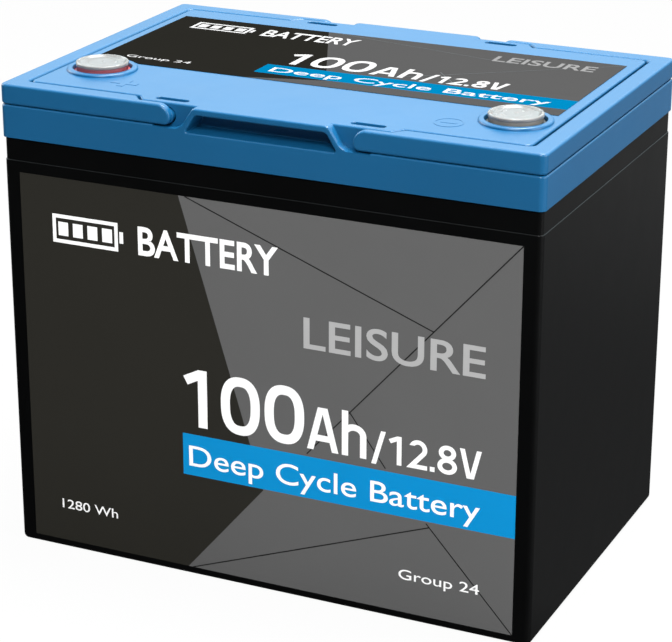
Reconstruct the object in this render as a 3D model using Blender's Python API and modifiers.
"""A group-size 24 deep cycle battery: a black case, a blue lid with two fold-flat carrying handles, capped terminals,
and the four-cell lithium iron phosphate pack with its management board inside.

Frame: origin at the centre of the underside, +X along the long side, the labelled front faces -Y, +Z up. Metres."""

import math

import bmesh
import bpy
from mathutils import Matrix, Vector

MM = 0.001
CLEAR = 0.3 * MM  # the gap kept between two pieces that rest on each other

# Driving dimensions of the shell
LENGTH = 260 * MM
WIDTH = 173 * MM
CORNER = 3.2 * MM
BODY_INSET = 0.6 * MM  # the case body stands this far inside the lid ...
BAND_INSET = 1.0 * MM  # ... its rim band this far ...
INNER_INSET = 4.5 * MM  # ... and its inner face this far
BAND_LOW = 190 * MM
SEAM = 200 * MM  # top of the case
LEDGE = 216 * MM  # where the folded handles lie
LID_TOP = 225 * MM
FLOOR = 3.5 * MM
BASE_ROUND = 3 * MM

# Driving dimensions of the handles, measured from the outer faces and the middle of the long side
ARM_WIDE = 9.4 * MM
ARM_NARROW = 4.2 * MM
BAR_WIDE = 9.2 * MM
STEP_IN = 60 * MM  # the arm's inner step runs from here ...
STEP_OUT = 64.2 * MM  # ... to here
PIVOT_X = 46.5 * MM
PIVOT_Z = 219.2 * MM
HANDLE_LOW = LEDGE + CLEAR
ARM_END = 43.6 * MM
ARM_NOSE = 6 * MM  # radius of the arm end's upper corner
KNUCKLE_RADIUS = 3.4 * MM
KNUCKLE_DEPTH = 7 * MM
PIN_RADIUS = 1.8 * MM
PIN_DEPTH = 8.5 * MM

# Driving dimensions of the terminals
TERMINAL_X = 100.8 * MM
TERMINAL_Y = -44.5 * MM
FLANGE_RADIUS = 9.1 * MM
FLANGE_TOP = 224.2 * MM
FLANGE_LOW = 221.6 * MM
POST_RADIUS = 6 * MM
THREAD_RADIUS = 3.4 * MM
RING_TOP = 224.6 * MM
CAP_RADIUS = 12.1 * MM
CAP_LOW = 215.8 * MM
CAP_TOP = 228.9 * MM
POST_LOW = 203.5 * MM
NUT_LOW = 207 * MM
BOSS_RADIUS = 16.3 * MM
BOSS_TOP = LID_TOP + 1.3 * MM
WELL_RADIUS = 13.5 * MM
WELL_FLOOR = 220 * MM
TOWER_LOW = 212.5 * MM

# Driving dimensions of the labels
FRONT_LABEL = (121.3 * MM, 4.5 * MM, 184.6 * MM)  # half length, lower edge, upper edge
TOP_LABEL = (114.6 * MM, -30 * MM, 62 * MM)  # half length, front edge, back edge
LABEL_THICK = 0.2 * MM
LABEL_NOTCH = 17.9 * MM  # radius left free round each terminal

# Driving dimensions of the cell pack
CELL = Vector((50, 160, 118.5)) * MM
CELL_PITCH = 51.2 * MM
CELL_LOW = 7.1 * MM
CELL_TOP = CELL_LOW + CELL.z
POLE_Y = 50 * MM
POLE_RADIUS = 8 * MM
POLE_TOP = CELL_TOP + 2.5 * MM
PLATE_THICK = 3 * MM
STRAP_THICK = 0.7 * MM
SHEET_LOW = CELL_TOP + CLEAR
SHEET_TOP = SHEET_LOW + 1 * MM
LINK_LOW = POLE_TOP + CLEAR
LINK_TOP = LINK_LOW + 2 * MM
TRAY_LOW = 134 * MM
TRAY_TOP = 136.5 * MM
BOARD_LOW = 138.8 * MM
BOARD_TOP = 140.4 * MM
CABLE_RADIUS = 4 * MM
WIRE_RADIUS = 0.8 * MM
ROUTE_STEP = 4.5 * MM


def fresh_collection(name):
    collection = bpy.data.collections.new(name)
    bpy.context.scene.collection.children.link(collection)
    return collection


def clear_scene():
    for obj in list(bpy.data.objects):
        bpy.data.objects.remove(obj, do_unlink=True)


clear_scene()
PARTS = fresh_collection("deep_cycle_battery")
CUTTERS = fresh_collection("cutters")


# Materials -----------------------------------------------------------------------------------------------------------


def finish(name, colour, roughness, metallic=0.0):
    material = bpy.data.materials.new(name)
    material.use_nodes = True
    shader = material.node_tree.nodes["Principled BSDF"]
    shader.inputs["Base Color"].default_value = (*colour, 1.0)
    shader.inputs["Roughness"].default_value = roughness
    shader.inputs["Metallic"].default_value = metallic
    material.diffuse_color = (*colour, 1.0)
    return material


BLACK_SHELL = finish("black_shell", (0.012, 0.012, 0.013), 0.5)
BLUE_SHELL = finish("blue_shell", (0.05, 0.3, 0.75), 0.42)
LABEL_FILM = finish("label_film", (0.06, 0.058, 0.056), 0.35)
BRASS = finish("terminal_brass", (0.72, 0.52, 0.25), 0.3, 1.0)
RED_RING = finish("red_ring", (0.6, 0.03, 0.03), 0.45)
BLACK_RING = finish("black_ring", (0.015, 0.015, 0.015), 0.45)
RUBBER = finish("seal_rubber", (0.03, 0.03, 0.03), 0.8)
CAP_PLASTIC = finish("cap_plastic", (0.8, 0.79, 0.77), 0.3)
CELL_METAL = finish("cell_metal", (0.1, 0.25, 0.6), 0.4, 0.3)
PACK_METAL = finish("pack_metal", (0.75, 0.75, 0.76), 0.35, 1.0)
TINNED = finish("tinned_copper", (0.78, 0.77, 0.75), 0.3, 1.0)
STEEL = finish("zinc_steel", (0.65, 0.66, 0.68), 0.3, 1.0)
FOAM = finish("pack_foam", (0.08, 0.08, 0.085), 0.95)
BOARD_GREEN = finish("board_green", (0.02, 0.16, 0.07), 0.45)
SHEET_PLASTIC = finish("insulating_sheet", (0.8, 0.72, 0.5), 0.5)
CABLE_RED = finish("cable_red", (0.55, 0.02, 0.02), 0.55)
CABLE_BLACK = finish("cable_black", (0.02, 0.02, 0.02), 0.55)
TRAY_PLASTIC = finish("tray_plastic", (0.04, 0.04, 0.042), 0.5)


# Shapes --------------------------------------------------------------------------------------------------------------


def add_object(name, data, material):
    """Puts a mesh or curve among the parts, or among the cutters when it has no material."""
    obj = bpy.data.objects.new(name, data)
    if material:
        data.materials.append(material)
        PARTS.objects.link(obj)
    else:
        CUTTERS.objects.link(obj)
        obj.hide_render = True
        obj.display_type = "WIRE"
    return obj


def from_bmesh(name, bm, material, smooth=False):
    bmesh.ops.recalc_face_normals(bm, faces=bm.faces)
    if bm.calc_volume(signed=True) < 0:
        bmesh.ops.reverse_faces(bm, faces=bm.faces)
    mesh = bpy.data.meshes.new(name)
    bm.to_mesh(mesh)
    bm.free()
    obj = add_object(name, mesh, material)
    if smooth:
        mesh.shade_smooth()
        mesh.set_sharp_from_angle(angle=math.radians(35))
    return obj


def arc(centre, radius, start, end, steps):
    """Points on an arc, angles in degrees, both ends included."""
    angles = [math.radians(start + (end - start) * i / steps) for i in range(steps + 1)]
    return [(centre[0] + radius * math.cos(a), centre[1] + radius * math.sin(a)) for a in angles]


def rounded_rectangle(length, width, radius, steps=4):
    x, y = length / 2 - radius, width / 2 - radius
    corners = ((x, y, 0), (-x, y, 90), (-x, -y, 180), (x, -y, 270))
    return [p for cx, cy, turn in corners for p in arc((cx, cy), radius, turn, turn + 90, steps)]


def grown(outline, by):
    """A rounded rectangle made larger by this much on every side."""
    return [(x + by * math.copysign(1, x), y + by * math.copysign(1, y)) for x, y in outline]


def mirrored_outline(quarter):
    """A closed outline from its quarter in +X +Y, listed from the Y axis to the X axis."""
    right = quarter + [(x, -y) for x, y in reversed(quarter)]
    return right + [(-x, y) for x, y in reversed(right)]


def loft(name, rings, material=None):
    """A closed body made by extruding the first outline through each one that follows, all of equal count."""
    bm = bmesh.new()
    outline, z = rings[0]
    face = bm.faces.new([bm.verts.new((x, y, z)) for x, y in outline])
    for outline, z in rings[1:]:
        face = bmesh.ops.extrude_discrete_faces(bm, faces=[face])["faces"][0]
        for vert, (x, y) in zip(face.verts, outline):
            vert.co = (x, y, z)
    bmesh.ops.holes_fill(bm, edges=bm.edges)
    return from_bmesh(name, bm, material)


def prism(name, outline, low, high, axis="Z", material=None):
    """A flat outline drawn out along Z, or an outline in X and Z drawn out along Y."""
    bm = bmesh.new()
    place = (lambda u, v: (u, v, low)) if axis == "Z" else (lambda u, v: (u, low, v))
    face = bm.faces.new([bm.verts.new(place(u, v)) for u, v in outline])
    grown_part = bmesh.ops.extrude_face_region(bm, geom=[face])["geom"]
    along = Vector((0, 0, high - low)) if axis == "Z" else Vector((0, high - low, 0))
    moved = [v for v in grown_part if isinstance(v, bmesh.types.BMVert)]
    bmesh.ops.translate(bm, vec=along, verts=moved)
    return from_bmesh(name, bm, material)


def box(name, corner, opposite, material=None, round_by=0.0, steps=1):
    bm = bmesh.new()
    size = [abs(b - a) for a, b in zip(corner, opposite)]
    middle = [(a + b) / 2 for a, b in zip(corner, opposite)]
    bmesh.ops.create_cube(bm, size=1.0, matrix=Matrix.Translation(middle) @ Matrix.Diagonal((*size, 1.0)))
    if round_by:
        bmesh.ops.bevel(
            bm, geom=list(bm.edges), offset=round_by, segments=steps, affect="EDGES", profile=0.5, clamp_overlap=True
        )
    return from_bmesh(name, bm, material)


def cylinder(name, radius, start, end, material=None, segments=24, top_radius=None):
    """A cylinder or cone between two points on a line along X, Y or Z."""
    start, end = Vector(start), Vector(end)
    turn = (end - start).to_track_quat("Z", "Y").to_matrix().to_4x4()
    bm = bmesh.new()
    bmesh.ops.create_cone(
        bm,
        cap_ends=True,
        segments=segments,
        radius1=radius,
        radius2=radius if top_radius is None else top_radius,
        depth=(end - start).length,
        matrix=Matrix.Translation((start + end) / 2) @ turn,
    )
    return from_bmesh(name, bm, material, smooth=segments > 6)


def turned(name, profile, centre, material, closed=False, steps=28):
    """A profile of radius and height, listed down its outer side, turned about a vertical axis."""
    bm = bmesh.new()
    verts = [bm.verts.new((r, 0, z)) for r, z in profile]
    for a, b in zip(verts, verts[1:]):
        bm.edges.new((a, b))
    if closed:
        bm.edges.new((verts[-1], verts[0]))
    mesh = bpy.data.meshes.new(name)
    bm.to_mesh(mesh)
    bm.free()
    obj = add_object(name, mesh, material)
    obj.location = (*centre, 0)
    screw = obj.modifiers.new("Turn", "SCREW")
    screw.steps = screw.render_steps = steps
    screw.use_merge_vertices = True
    screw.merge_threshold = 0.00001
    screw.use_smooth_shade = True
    return obj


def combine(target, operation, *tools):
    for tool in tools:
        boolean = target.modifiers.new(f"{operation.lower()}_{tool.name}", "BOOLEAN")
        boolean.operation = operation
        boolean.object = tool
        boolean.solver = "EXACT"
    return target


def cut(target, *tools):
    return combine(target, "DIFFERENCE", *tools)


def join(target, *tools):
    return combine(target, "UNION", *tools)


def closed_band(name, outline, thick, low, high, material):
    """A flat band that runs right round an outline, thick measured inwards."""
    band = prism(name, outline, low, high, "Z", material)
    return cut(band, prism(f"{name}_cutter", grown(outline, -thick), low - 1 * MM, high + 1 * MM))


def smooth_route(points, spacing):
    """Points evenly along a smooth curve (Catmull-Rom) through a route's own points."""
    route = [Vector(p) * MM for p in points]
    ends = [route[0] * 2 - route[1], *route, route[-1] * 2 - route[-2]]
    fine = []
    for a, b, c, d in zip(ends, ends[1:], ends[2:], ends[3:]):
        for i in range(16):
            t = i / 16
            fine.append(
                0.5 * (2 * b + (c - a) * t + (2 * a - 5 * b + 4 * c - d) * t**2 + (3 * b - a - 3 * c + d) * t**3)
            )
    fine.append(route[-1])
    length = sum((q - p).length for p, q in zip(fine, fine[1:]))
    count = max(2, round(length / spacing))
    even, walked, want = [fine[0]], 0.0, length / count
    for p, q in zip(fine, fine[1:]):
        piece = (q - p).length
        while walked + piece >= want - 1e-9 and len(even) < count:
            even.append(p.lerp(q, (want - walked) / piece))
            want += length / count
        walked += piece
    even.append(fine[-1])
    return even


def lead(name, points, radius, material, resolution=2, swell=None):
    """A cable or wire along a smooth route in millimetres; swell thickens its first points, as a bead does."""
    path = smooth_route(points, ROUTE_STEP)
    curve = bpy.data.curves.new(name, "CURVE")
    curve.dimensions = "3D"
    curve.bevel_depth = radius
    curve.bevel_resolution = resolution
    curve.use_fill_caps = True
    spline = curve.splines.new("POLY")
    spline.points.add(len(path) - 1)
    for i, (point, place) in enumerate(zip(spline.points, path)):
        point.co = (*place, 1.0)
        if swell and i in swell:
            point.radius = swell[i]
    spline.use_smooth = True
    return add_object(name, curve, material)


# Case ----------------------------------------------------------------------------------------------------------------


def make_case():
    """One moulded shell: rounded underside, straight walls, a thinner rim band and a groove for the lid's seal."""
    rim = rounded_rectangle(LENGTH, WIDTH, CORNER)
    body, band, inner = grown(rim, -BODY_INSET), grown(rim, -BAND_INSET), grown(rim, -INNER_INSET)
    groove_out, groove_in = grown(rim, -2.0 * MM), grown(rim, -3.8 * MM)
    quarter_round = arc((-BASE_ROUND, BASE_ROUND), BASE_ROUND, -90, 0, 3)
    rings = [
        *[(grown(body, inset), z) for inset, z in quarter_round],
        (body, BAND_LOW - 0.2 * MM),
        (band, BAND_LOW),
        (band, SEAM),
        (groove_out, SEAM),
        (groove_out, SEAM - 1.5 * MM),
        (groove_in, SEAM - 1.5 * MM),
        (groove_in, SEAM),
        (inner, SEAM),
        (inner, FLOOR),
    ]
    loft("case", rings, BLACK_SHELL)


def make_lid_seal():
    rim = rounded_rectangle(LENGTH, WIDTH, CORNER)
    closed_band("lid_seal", grown(rim, -2.25 * MM), 1.3 * MM, SEAM - 1.2 * MM, SEAM, RUBBER)


# Lid -----------------------------------------------------------------------------------------------------------------

HUMP_FOOT, HUMP_TOP = 39.2 * MM, 32.4 * MM
RECESS_LOW, RECESS_HIGH = 213.8 * MM, 221.9 * MM
RECESS_FOOT, RECESS_TOP = 36.2 * MM, 31.2 * MM
RECESS_DEPTH = 12 * MM
POCKET_FLOOR = LEDGE - 0.6 * MM
SLOT_NEAR, SLOT_FAR = 38.8 * MM, 54.9 * MM
SLOT_OUT, SLOT_IN = 8.0 * MM, 11.6 * MM  # from the lid's outer face
SLOT_FLOOR = 221.8 * MM
CEILING = 212 * MM
ROOF = 222.2 * MM
LID_LOW = SEAM + CLEAR


def lid_shell():
    """The lid's outer wall, its ledge, and the tongue that reaches down inside the case."""
    rim = rounded_rectangle(LENGTH, WIDTH, CORNER)
    tongue_out = grown(rim, -(INNER_INSET + CLEAR))
    tongue_in = grown(tongue_out, -2 * MM)
    rings = [
        (tongue_in, CEILING),
        (tongue_in, SEAM - 6 * MM),
        (tongue_out, SEAM - 6 * MM),
        (tongue_out, LID_LOW),
        (rim, LID_LOW),
        (rim, LEDGE - 0.8 * MM),
        (grown(rim, -0.8 * MM), LEDGE),
    ]
    return loft("lid", rings, BLUE_SHELL)


def plateau_outline():
    edge = WIDTH / 2
    quarter = [
        (0, edge - ARM_NARROW - 0.4 * MM),
        (STEP_IN - 0.7 * MM, edge - ARM_NARROW - 0.4 * MM),
        (STEP_OUT - 0.8 * MM, edge - ARM_WIDE - 0.6 * MM),
    ]
    x, y, radius = LENGTH / 2 - BAR_WIDE - 1.2 * MM, edge - ARM_WIDE - 0.6 * MM, 3 * MM
    quarter += arc((x - radius, y - radius), radius, 90, 0, 3)
    return mirrored_outline(quarter[1:])


def lid_plateau():
    """The raised middle between the handles, with its upper edge eased."""
    outline = plateau_outline()
    ease = 0.7 * MM
    rings = [(outline, LEDGE - 0.5 * MM), (outline, LID_TOP - ease), (grown(outline, -ease), LID_TOP)]
    return loft("plateau_form", rings)


def hump(side):
    """The sloping-sided bridge between the arm ends that holds a finger recess."""
    outer, inner = side * WIDTH / 2, side * (WIDTH / 2 - 8 * MM)
    half = [
        (HUMP_FOOT + 2.6 * MM, POCKET_FLOOR - 0.4 * MM),
        (HUMP_FOOT - 0.2 * MM, POCKET_FLOOR + 1.6 * MM),
        (HUMP_TOP + 1 * MM, LID_TOP - 1.4 * MM),
        (HUMP_TOP - 0.9 * MM, LID_TOP - 0.05 * MM),
    ]
    outline = half + [(-x, z) for x, z in reversed(half)]
    return prism(f"hump_form_{side}", outline, outer, inner, "Y")


def recess_cutter(side):
    half = [(RECESS_FOOT, RECESS_LOW), (RECESS_TOP, RECESS_HIGH)]
    outline = half + [(-x, z) for x, z in reversed(half)]
    outer = side * (WIDTH / 2 + 1 * MM)
    inner = side * (WIDTH / 2 - RECESS_DEPTH)
    return prism(f"recess_cutter_{side}", outline, outer, inner, "Y")


def pivot_cutters(side, end):
    """At one arm end: the lowered pocket floor, the round pocket, the pin hole and the oblong dimple above them."""
    edge = side * WIDTH / 2
    tag = f"{side}_{end}"

    def into(depth):
        return edge - side * depth

    pocket_floor = box(
        f"pocket_floor_cutter_{tag}",
        (end * (HUMP_FOOT - 1 * MM), into(-1 * MM), POCKET_FLOOR),
        (end * 52 * MM, into(ARM_NARROW + 0.3 * MM), LEDGE + 1 * MM),
    )
    x = end * PIVOT_X
    round_pocket = cylinder(
        f"knuckle_cutter_{tag}",
        KNUCKLE_RADIUS + 0.5 * MM,
        (x, into(ARM_NARROW - 1 * MM), PIVOT_Z),
        (x, into(KNUCKLE_DEPTH + CLEAR), PIVOT_Z),
        segments=20,
    )
    pin_hole = cylinder(
        f"pin_cutter_{tag}",
        PIN_RADIUS + 0.4 * MM,
        (x, into(KNUCKLE_DEPTH), PIVOT_Z),
        (x, into(PIN_DEPTH + 0.5 * MM), PIVOT_Z),
        segments=16,
    )
    radius = (SLOT_IN - SLOT_OUT) / 2
    middle = into(SLOT_OUT + radius)
    far, near = end * (SLOT_FAR - radius), end * (SLOT_NEAR + radius)
    right, left = max(far, near), min(far, near)
    outline = arc((right, middle), radius, -90, 90, 5) + arc((left, middle), radius, 90, 270, 5)
    slot = prism(f"slot_cutter_{tag}", outline, SLOT_FLOOR, LID_TOP + 1 * MM)
    return pocket_floor, [round_pocket, slot, pin_hole]


def terminal_forms(end):
    """At one terminal: the raised boss with its tower, and the well and hole cut through them."""
    x, y = end * TERMINAL_X, TERMINAL_Y

    def upright(name, radius, low, high, segments, top_radius=None):
        return cylinder(f"{name}_{end}", radius, (x, y, low), (x, y, high), segments=segments, top_radius=top_radius)

    forms = [
        upright("boss_form", BOSS_RADIUS + 0.2 * MM, LID_TOP - 1 * MM, BOSS_TOP, 48, BOSS_RADIUS - 0.6 * MM),
        upright("tower_form", WELL_RADIUS + 2 * MM, TOWER_LOW, LID_TOP - 0.5 * MM, 24),
    ]
    holes = [
        upright("well_cutter", WELL_RADIUS, WELL_FLOOR, BOSS_TOP + 1 * MM, 40),
        upright("post_cutter", POST_RADIUS + 0.4 * MM, TOWER_LOW - 2 * MM, WELL_FLOOR + 1 * MM, 24),
    ]
    return forms, holes


def make_lid():
    lid = lid_shell()
    details = []
    for side in (-1, 1):
        for end in (-1, 1):
            pocket_floor, rest = pivot_cutters(side, end)
            cut(lid, pocket_floor)
            details += rest
    join(lid, lid_plateau(), hump(-1), hump(1))
    cavity = box("roof_cutter", (-111 * MM, -69.5 * MM, CEILING - 1 * MM), (111 * MM, 69.5 * MM, ROOF))
    cut(lid, cavity, recess_cutter(-1), recess_cutter(1), *details)
    for end in (-1, 1):
        forms, holes = terminal_forms(end)
        join(lid, *forms)
        cut(lid, *holes)


# Handles -------------------------------------------------------------------------------------------------------------


def arm_side_profile():
    """The narrow arm end seen from the front: round about its pivot below, a large nose above."""
    nose_x = ARM_END + ARM_NOSE
    low_radius = PIVOT_Z - HANDLE_LOW
    nose_z = LID_TOP - ARM_NOSE
    tail = STEP_IN + 2 * MM
    return [
        (tail, HANDLE_LOW),
        *arc((ARM_END + low_radius, PIVOT_Z), low_radius, 270, 180, 5),
        *arc((nose_x, nose_z), ARM_NOSE, 180, 90, 6)[1:],
        (tail, LID_TOP),
    ]


def handle_plan():
    """The U of the handle at the +X end, seen from above."""
    edge, wide, narrow = WIDTH / 2, WIDTH / 2 - ARM_WIDE, WIDTH / 2 - ARM_NARROW
    end, inner, radius = LENGTH / 2, LENGTH / 2 - BAR_WIDE, 3 * MM
    outside = [(STEP_IN, edge), *arc((end - CORNER, edge - CORNER), CORNER, 90, 0, 4)]
    inside = [*arc((inner - radius, wide - radius), radius, 0, 90, 3), (STEP_OUT, wide), (STEP_IN, narrow)]
    half = outside + [(x, -y) for x, y in reversed(outside)]
    back = [(x, -y) for x, y in reversed(inside)]
    return half + back + inside


def flipped(outline, end):
    return [(end * x, y) for x, y in outline]


def make_handle(name, end):
    """A bail handle: end is +1 or -1 for the side of the battery that it lies on."""
    plan = flipped(handle_plan(), end)
    handle = prism(name, plan, HANDLE_LOW, LID_TOP, "Z", BLUE_SHELL)
    ease = handle.modifiers.new("Ease", "BEVEL")
    ease.width = 0.8 * MM
    ease.segments = 2
    ease.limit_method = "ANGLE"
    ease.angle_limit = math.radians(60)
    profile = flipped(arm_side_profile(), end)
    x = end * PIVOT_X
    for side in (-1, 1):
        tag = f"{name}_{side}"
        edge = side * WIDTH / 2
        plate = prism(f"arm_form_{tag}", profile, edge, edge - side * ARM_NARROW, "Y")
        knuckle = cylinder(
            f"knuckle_form_{tag}", KNUCKLE_RADIUS, (x, edge - side * 3 * MM, PIVOT_Z),
            (x, edge - side * KNUCKLE_DEPTH, PIVOT_Z), segments=20,
        )
        pin = cylinder(
            f"pin_form_{tag}", PIN_RADIUS, (x, edge - side * (KNUCKLE_DEPTH - 1 * MM), PIVOT_Z),
            (x, edge - side * PIN_DEPTH, PIVOT_Z), segments=16,
        )
        join(handle, plate, knuckle, pin)
    pivot = bpy.data.objects.new(f"{name}_axis", None)
    pivot.location = (x, 0, PIVOT_Z)
    PARTS.objects.link(pivot)
    handle.parent = pivot
    handle.location = (-x, 0, -PIVOT_Z)


# Labels --------------------------------------------------------------------------------------------------------------


def make_front_label():
    half, low, high = FRONT_LABEL
    face = -(WIDTH / 2 - BODY_INSET) - CLEAR
    box("label_front", (-half, face - LABEL_THICK, low), (half, face, high), LABEL_FILM)


def make_top_label():
    half, front, back = TOP_LABEL
    low = LID_TOP + CLEAR
    label = box("label_top", (-half, front, low), (half, back, low + LABEL_THICK), LABEL_FILM)
    for end in (-1, 1):
        notch = cylinder(
            f"notch_cutter_{end}", LABEL_NOTCH, (end * TERMINAL_X, TERMINAL_Y, low - 1 * MM),
            (end * TERMINAL_X, TERMINAL_Y, low + 2 * MM), segments=64,
        )
        cut(label, notch)


# Terminals -----------------------------------------------------------------------------------------------------------



def post_profile():
    """A flanged post with a threaded hole for the ring terminal above and one for the inner lug below."""
    return [
        (0, 212.2 * MM),
        (THREAD_RADIUS, 212.2 * MM),
        (THREAD_RADIUS, FLANGE_TOP - 0.4 * MM),
        (THREAD_RADIUS + 0.4 * MM, FLANGE_TOP),
        (FLANGE_RADIUS - 0.3 * MM, FLANGE_TOP),
        (FLANGE_RADIUS, FLANGE_TOP - 0.3 * MM),
        (FLANGE_RADIUS, FLANGE_LOW),
        (POST_RADIUS, FLANGE_LOW),
        (POST_RADIUS, POST_LOW),
        (3.2 * MM, POST_LOW),
        (3.2 * MM, 210.5 * MM),
        (0, 210.5 * MM),
    ]


def cap_profile():
    """A push-in dust cap: a dished disc with a bead round it, a hollow skirt, and a stem for the threaded hole."""
    bead, dish = CAP_TOP - 0.4 * MM, CAP_TOP - 0.7 * MM
    skirt, stem = CAP_RADIUS - 0.3 * MM, THREAD_RADIUS - 0.4 * MM
    skirt_low, ceiling = RING_TOP + CLEAR, CAP_TOP - 1.7 * MM
    return [
        (0, dish),
        (CAP_RADIUS - 1.3 * MM, dish),
        (CAP_RADIUS - 0.8 * MM, CAP_TOP),
        (CAP_RADIUS - 0.3 * MM, CAP_TOP),
        (CAP_RADIUS, bead),
        (CAP_RADIUS, CAP_TOP - 1.3 * MM),
        (skirt, CAP_TOP - 1.6 * MM),
        (skirt, skirt_low),
        (skirt - 1.2 * MM, skirt_low),
        (skirt - 1.2 * MM, ceiling),
        (stem + 0.8 * MM, ceiling),
        (stem, ceiling - 0.8 * MM),
        (stem, CAP_LOW + 0.6 * MM),
        (stem - 0.6 * MM, CAP_LOW),
        (0, CAP_LOW),
    ]


def make_terminal(pole, end, ring_finish):
    x, y = end * TERMINAL_X, TERMINAL_Y
    turned(f"terminal_post_{pole}", post_profile(), (x, y), BRASS)
    inner, outer = FLANGE_RADIUS + 0.5 * MM, WELL_RADIUS - CLEAR
    low, bevel = WELL_FLOOR + CLEAR, 0.4 * MM
    ring = [(inner, RING_TOP), (outer - bevel, RING_TOP), (outer, RING_TOP - bevel), (outer, low), (inner, low)]
    turned(f"terminal_ring_{pole}", ring, (x, y), ring_finish, closed=True)
    middle = (WELL_FLOOR + FLANGE_LOW) / 2
    section = [(7.8 * MM + r, middle + z) for r, z in arc((0, 0), 0.5 * MM, 180, -135, 7)]
    turned(f"terminal_seal_{pole}", section, (x, y), RUBBER, closed=True)
    nut = cylinder(
        f"terminal_nut_{pole}", 10.97 * MM, (x, y, NUT_LOW), (x, y, TOWER_LOW - CLEAR), STEEL, segments=6
    )
    cut(nut, cylinder(f"nut_cutter_{pole}", 6.3 * MM, (x, y, NUT_LOW - 1 * MM), (x, y, TOWER_LOW + 1 * MM)))
    turned(f"terminal_cap_{pole}", cap_profile(), (x, y), CAP_PLASTIC, steps=40)


# Lugs and their screws -----------------------------------------------------------------------------------------------


def make_lug(name, eye, face, heading, up=1):
    """A crimp lug: a flat eye on a face height, and a barrel leaving it along heading, above it or below (up = -1)."""
    eye, heading = Vector((*eye, face)), Vector((*heading, 0))
    across = Vector((-heading.y, heading.x, 0)) * 5 * MM
    rise = Vector((0, 0, up * MM))
    lug = cylinder(name, 7.5 * MM, eye, eye + rise * 2, TINNED)
    neck = box(f"neck_form_{name}", eye - across, eye + across + heading * 12 * MM + rise * 2)
    axis = eye + rise * 4.9
    barrel = cylinder(
        f"barrel_form_{name}", 5 * MM, axis + heading * 8 * MM, axis + heading * 21 * MM, segments=16
    )
    join(lug, neck, barrel)
    bore = cylinder(
        f"bore_cutter_{name}", CABLE_RADIUS + CLEAR, axis + heading * 11 * MM, axis + heading * 22 * MM, segments=16
    )
    hole = cylinder(f"hole_cutter_{name}", 3.3 * MM, eye - rise, eye + rise * 3, segments=16)
    cut(lug, bore, hole)


def make_screw(name, place, seat, head_up, head, head_high, shank, reach):
    """A screw with its head on a seat height, its shank running down, or up when head_up is False."""
    x, y = place
    way = 1 if head_up else -1
    screw = cylinder(name, head, (x, y, seat), (x, y, seat + way * head_high), STEEL, segments=16)
    stem = cylinder(
        f"shank_form_{name}", shank, (x, y, seat + way * head_high / 2), (x, y, seat - way * reach), segments=12
    )
    drive = cylinder(
        f"drive_cutter_{name}", head * 0.5, (x, y, seat + way * head_high * 0.5), (x, y, seat + way * head_high * 2),
        segments=6,
    )
    join(screw, stem)
    cut(screw, drive)


TERMINAL_LUG_LOW = POST_LOW - CLEAR - 2 * MM


def make_lugs():
    for pole, end in (("positive", -1), ("negative", 1)):
        eye = (end * TERMINAL_X, TERMINAL_Y)
        make_lug(f"terminal_lug_{pole}", eye, POST_LOW - CLEAR, (0, 1), up=-1)
        seat = TERMINAL_LUG_LOW - CLEAR
        make_screw(f"terminal_lug_screw_{pole}", eye, seat, False, 5.5 * MM, 4 * MM, 2.9 * MM, 8 * MM)
        pack_eye = (end * 1.5 * CELL_PITCH, -POLE_Y)
        make_lug(f"pack_lug_{pole}", pack_eye, LINK_LOW, (end, 0))
        make_screw(f"pack_lug_screw_{pole}", pack_eye, LINK_TOP + CLEAR, True, 5 * MM, 3.6 * MM, 2.9 * MM, 9 * MM)


# Cell pack -----------------------------------------------------------------------------------------------------------


def cell_x(index):
    return (index - 1.5) * CELL_PITCH


def make_cell(index):
    """A prismatic cell with two poles, one of them drilled on the cells that end the string, and a vent."""
    x = cell_x(index)
    name = f"cell_{index + 1}"
    low = (x - CELL.x / 2, -CELL.y / 2, CELL_LOW)
    high = (x + CELL.x / 2, CELL.y / 2, CELL_TOP)
    cell = box(name, low, high, CELL_METAL, round_by=1.5 * MM, steps=2)
    sunk = CELL_TOP - 1 * MM
    for y in (-POLE_Y, POLE_Y):
        join(cell, cylinder(f"pole_form_{name}_{y:.2f}", POLE_RADIUS, (x, y, sunk), (x, y, POLE_TOP), segments=20))
    join(cell, cylinder(f"vent_form_{name}", 7 * MM, (x, 0, sunk), (x, 0, CELL_TOP + 0.3 * MM), segments=20))
    if index in (0, 3):
        bottom, top = (x, -POLE_Y, POLE_TOP - 9 * MM), (x, -POLE_Y, POLE_TOP + 1 * MM)
        cut(cell, cylinder(f"pole_cutter_{name}", 3.2 * MM, bottom, top, segments=16))


def make_cell_spacer(index):
    x = (cell_x(index) + cell_x(index + 1)) / 2
    half, end = 0.3 * MM, 78 * MM
    box(f"cell_spacer_{index + 1}", (x - half, -end, 9 * MM), (x + half, end, CELL_TOP - 2 * MM), SHEET_PLASTIC)


def make_end_plate(name, end):
    """A pressed plate with three stiffening ribs, which the straps pull against the end cell."""
    near = cell_x(3) + CELL.x / 2 + CLEAR
    plate = box(name, (end * near, -78 * MM, 9 * MM), (end * (near + 1.5 * MM), 78 * MM, 120 * MM), PACK_METAL)
    root, crest = end * (near + 1 * MM), end * (near + PLATE_THICK)
    for i, z in enumerate((20, 65, 108)):
        rib = box(f"rib_form_{name}_{i}", (root, -74 * MM, (z - 4) * MM), (crest, 74 * MM, (z + 4) * MM))
        join(plate, rib)


def make_strap(name, low):
    """A steel band round the four cells and their end plates."""
    near = cell_x(3) + CELL.x / 2 + CLEAR + PLATE_THICK + CLEAR
    outline = rounded_rectangle(2 * near + 2 * STRAP_THICK, CELL.y + 2 * CLEAR + 2 * STRAP_THICK, 2 * MM, 2)
    closed_band(name, outline, STRAP_THICK, low, low + 16 * MM, STEEL)


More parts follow.
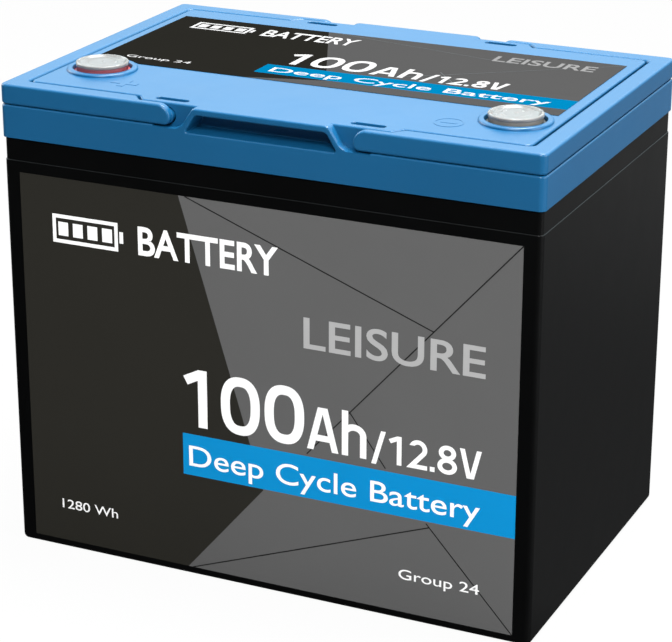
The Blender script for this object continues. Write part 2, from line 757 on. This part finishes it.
def make_busbar(index):
    """A nickel-plated link from one cell to the next, humped in the middle to give between them."""
    side = 1 if index != 1 else -1
    start, end = cell_x(index) - 9 * MM, cell_x(index + 1) + 9 * MM
    middle = (start + end) / 2
    rise, thick = 2 * MM, LINK_TOP - LINK_LOW
    half = [(6 * MM, rise), (9 * MM, 0), (end - middle, 0)]
    under = [(middle - x, LINK_LOW + z) for x, z in reversed(half)] + [(middle + x, LINK_LOW + z) for x, z in half]
    over = [(x, z + thick) for x, z in reversed(under)]
    prism(f"busbar_{index + 1}", under + over, side * POLE_Y - 9 * MM, side * POLE_Y + 9 * MM, "Y", TINNED)


def make_pack_sheet():
    """The insulating sheet over the cells, open round the poles and the vents."""
    half_x = cell_x(3) + CELL.x / 2
    sheet = box("cell_top_sheet", (-half_x, -79 * MM, SHEET_LOW), (half_x, 79 * MM, SHEET_TOP), SHEET_PLASTIC)
    for index in range(4):
        for y, radius in ((-POLE_Y, 9.5), (0, 9), (POLE_Y, 9.5)):
            hole = cylinder(
                f"sheet_cutter_{index}_{y:.2f}", radius * MM, (cell_x(index), y, SHEET_LOW - 1 * MM),
                (cell_x(index), y, SHEET_TOP + 1 * MM), segments=16,
            )
            cut(sheet, hole)


def make_pads():
    box("base_pad", (-118 * MM, -76 * MM, FLOOR + CLEAR), (118 * MM, 76 * MM, CELL_LOW - CLEAR), FOAM)
    near = cell_x(3) + CELL.x / 2 + 2 * CLEAR + PLATE_THICK + STRAP_THICK + CLEAR
    far = LENGTH / 2 - INNER_INSET - CLEAR
    for name, end in (("side_pad_left", -1), ("side_pad_right", 1)):
        box(name, (end * near, -62 * MM, 8 * MM), (end * far, 62 * MM, 112 * MM), FOAM, round_by=1.5 * MM)


# Management board ----------------------------------------------------------------------------------------------------

BOARD_X = (-40 * MM, 74 * MM)
BOARD_Y = 35 * MM
SCREW_PLACES = [(x * MM, y * MM) for x in (-36, 70) for y in (-31, 31)]


def make_tray():
    """The tray that carries the electronics over the cells: a plate on four legs with a raised rest at each screw."""
    tray = box("board_tray", (-75 * MM, -38 * MM, TRAY_LOW), (77 * MM, 38 * MM, TRAY_TOP), TRAY_PLASTIC)
    for i, (x, y) in enumerate(((-70, -33), (-70, 33), (72, -33), (72, 33))):
        foot, head = SHEET_TOP + CLEAR, TRAY_LOW + 1 * MM
        leg = box(f"leg_form_{i}", ((x - 3) * MM, (y - 3) * MM, foot), ((x + 3) * MM, (y + 3) * MM, head))
        join(tray, leg)
    for i, (x, y) in enumerate(SCREW_PLACES):
        low, high = TRAY_LOW - 1 * MM, BOARD_LOW - CLEAR
        rest = cylinder(f"rest_form_{i}", 3.6 * MM, (x, y, TRAY_TOP - 1 * MM), (x, y, high), segments=16)
        hole = cylinder(f"rest_cutter_{i}", 1.8 * MM, (x, y, low), (x, y, high + 1 * MM), segments=12)
        join(tray, rest)
        cut(tray, hole)


def make_board():
    """The board with its power transistors, shunt, sense connector and two solder posts for the power cables."""
    corner, opposite = (BOARD_X[0], -BOARD_Y, BOARD_LOW), (BOARD_X[1], BOARD_Y, BOARD_TOP)
    board = box("management_board", corner, opposite, BOARD_GREEN)
    sunk = BOARD_TOP - 0.5 * MM
    for row in range(6):
        for col in range(2):
            x, y = (-22 + 12 * row) * MM, (-8 + 16 * col) * MM
            low, high = (x - 4.5 * MM, y - 5 * MM, sunk), (x + 4.5 * MM, y + 5 * MM, BOARD_TOP + 2.3 * MM)
            join(board, box(f"chip_form_{row}_{col}", low, high))
    join(board, box("shunt_form", (48 * MM, -6 * MM, sunk), (56 * MM, 6 * MM, BOARD_TOP + 1.5 * MM)))
    join(board, box("socket_form", (-39 * MM, -9 * MM, sunk), (-33 * MM, 9 * MM, BOARD_TOP + 6 * MM)))
    for i, y in enumerate((-20 * MM, 10 * MM)):
        x, high = 64 * MM, BOARD_TOP + 1.6 * MM
        join(board, cylinder(f"solder_form_{i}", 5 * MM, (x, y, sunk), (x, y, high), segments=20))
    for i, (x, y) in enumerate(SCREW_PLACES):
        low, high = BOARD_LOW - 1 * MM, BOARD_TOP + 1 * MM
        cut(board, cylinder(f"board_cutter_{i}", 1.8 * MM, (x, y, low), (x, y, high), segments=12))
        make_screw(f"board_screw_{i + 1}", (x, y), BOARD_TOP + CLEAR, True, 2.8 * MM, 2 * MM, 1.45 * MM, 6 * MM)


def make_heat_sink():
    """A finned block lying on the power transistors."""
    low = BOARD_TOP + 2.3 * MM + CLEAR
    fins = 8
    pitch, fin, base, tall = 5.6 * MM, 1.8 * MM, 3 * MM, 13 * MM
    half = (fins - 1) * pitch / 2 + fin / 2
    outline = [(-half, low), (half, low)]
    for i in reversed(range(fins)):
        middle = (i - (fins - 1) / 2) * pitch
        outline += [(middle + fin / 2, low + tall), (middle - fin / 2, low + tall)]
        if i:
            outline += [(middle - fin / 2, low + base), (middle - pitch + fin / 2, low + base)]
    obj = prism("heat_sink", outline, -44 * MM, 28 * MM, "Y", PACK_METAL)
    obj.matrix_world = Matrix.Rotation(math.radians(90), 4, "Z")


def make_radio():
    """The wireless monitoring module beside the board: a small board, its shield can and two feet."""
    x, low, high = -59 * MM, BOARD_LOW, BOARD_LOW + 1.2 * MM
    radio = box("radio_module", (x - 12 * MM, -14 * MM, low), (x + 12 * MM, 14 * MM, high), BOARD_GREEN)
    join(radio, box("can_form", (x - 7 * MM, -8 * MM, low + 1 * MM), (x + 7 * MM, 8 * MM, low + 3.4 * MM)))
    for i, y in enumerate((-11 * MM, 11 * MM)):
        ends = (x, y, TRAY_TOP + CLEAR), (x, y, low + 0.5 * MM)
        join(radio, cylinder(f"foot_form_{i}", 2 * MM, *ends, segments=12))


# Cables --------------------------------------------------------------------------------------------------------------


def make_cables():
    """The power cables and sense wires, each routed in millimetres from joint to joint."""
    lead(
        "cable_positive",
        [(-89, -50, 133.3), (-100, -50, 133.8), (-110, -49, 139), (-114, -45, 152), (-114, -35, 168),
         (-111, -20, 183), (-106, -8, 193), (-101.5, -5, 197.3), (-100.8, -13, 198.3), (-100.8, -24, 198.3),
         (-100.8, -32.5, 198.3)],
        CABLE_RADIUS, CABLE_RED,
    )
    lead(
        "cable_pack_negative",
        [(89, -50, 133.3), (100, -50, 133.8), (110, -49, 139), (114, -44, 151), (110, -35, 163), (98, -27, 170),
         (83, -22, 168), (70, -20.5, 161), (64, -20, 152), (64, -20, 147), (64, -20, 142.4)],
        CABLE_RADIUS, CABLE_BLACK,
    )
    lead(
        "cable_output_negative",
        [(64, 10, 142.4), (64, 10, 147), (64, 10, 152), (67, 9, 164), (74, 5, 176), (87, -1, 188), (97, -5, 195),
         (100.6, -10, 198), (100.8, -18, 198.3), (100.8, -25, 198.3), (100.8, -32.5, 198.3)],
        CABLE_RADIUS, CABLE_BLACK,
    )
    socket_top = 147.7
    taps = {
        1: [(-97, -47.5, 139.6), (-92, -42, 143.5), (-78, -28, 149), (-60, -14, 152), (-44, -8, 152.5)],
        2: [(-52, 46, 133.7), (-53, 43, 139), (-55, 34, 146), (-52, 18, 151), (-45, 3, 152)],
        3: [(-8, -49, 133.7), (-12, -46.5, 141), (-24, -42, 148), (-38, -30, 153), (-43, -12, 154.5)],
        4: [(52, 46, 133.7), (48, 44.5, 141), (30, 42, 152), (0, 38, 158), (-30, 24, 158), (-42, 9, 155)],
        5: [(97, -47.5, 139.6), (93, -47.5, 146), (78, -48, 154), (40, -46, 160), (0, -42, 161),
            (-30, -32, 160), (-41, -14, 158)],
    }
    for order, (number, route) in enumerate(sorted(taps.items(), key=lambda item: item[1][-1][1])):
        y = -6 + 3 * order
        x = -36
        down = [(x - 1.2, y, 152.5 + 0.6 * abs(order - 2)), (x, y, socket_top + 1.6), (x, y, socket_top - 0.9)]
        colour = CABLE_RED if number == 1 else CABLE_BLACK
        lead(f"sense_wire_{number}", route + down, WIRE_RADIUS, colour, resolution=1)
    lead(
        "temperature_sensor",
        [(-51, -47, 129.6), (-51, -44.5, 129.6), (-51, -42, 131), (-52, -42, 138), (-53, -33, 147), (-49, -24, 152),
         (-42, -18, 150), (-37.5, -15, 145), (-37, -15, 141.6)],
        WIRE_RADIUS, CABLE_BLACK, resolution=2, swell={0: 2.2, 1: 2.2},
    )


def main():
    make_case()
    make_lid_seal()
    make_lid()
    make_handle("handle_left", -1)
    make_handle("handle_right", 1)
    make_front_label()
    make_top_label()
    make_terminal("positive", -1, RED_RING)
    make_terminal("negative", 1, BLACK_RING)
    make_lugs()
    for index in range(4):
        make_cell(index)
    for index in range(3):
        make_cell_spacer(index)
        make_busbar(index)
    make_end_plate("end_plate_left", -1)
    make_end_plate("end_plate_right", 1)
    make_strap("strap_lower", 36 * MM)
    make_strap("strap_upper", 78 * MM)
    make_pack_sheet()
    make_pads()
    make_tray()
    make_board()
    make_heat_sink()
    make_radio()
    make_cables()


main()
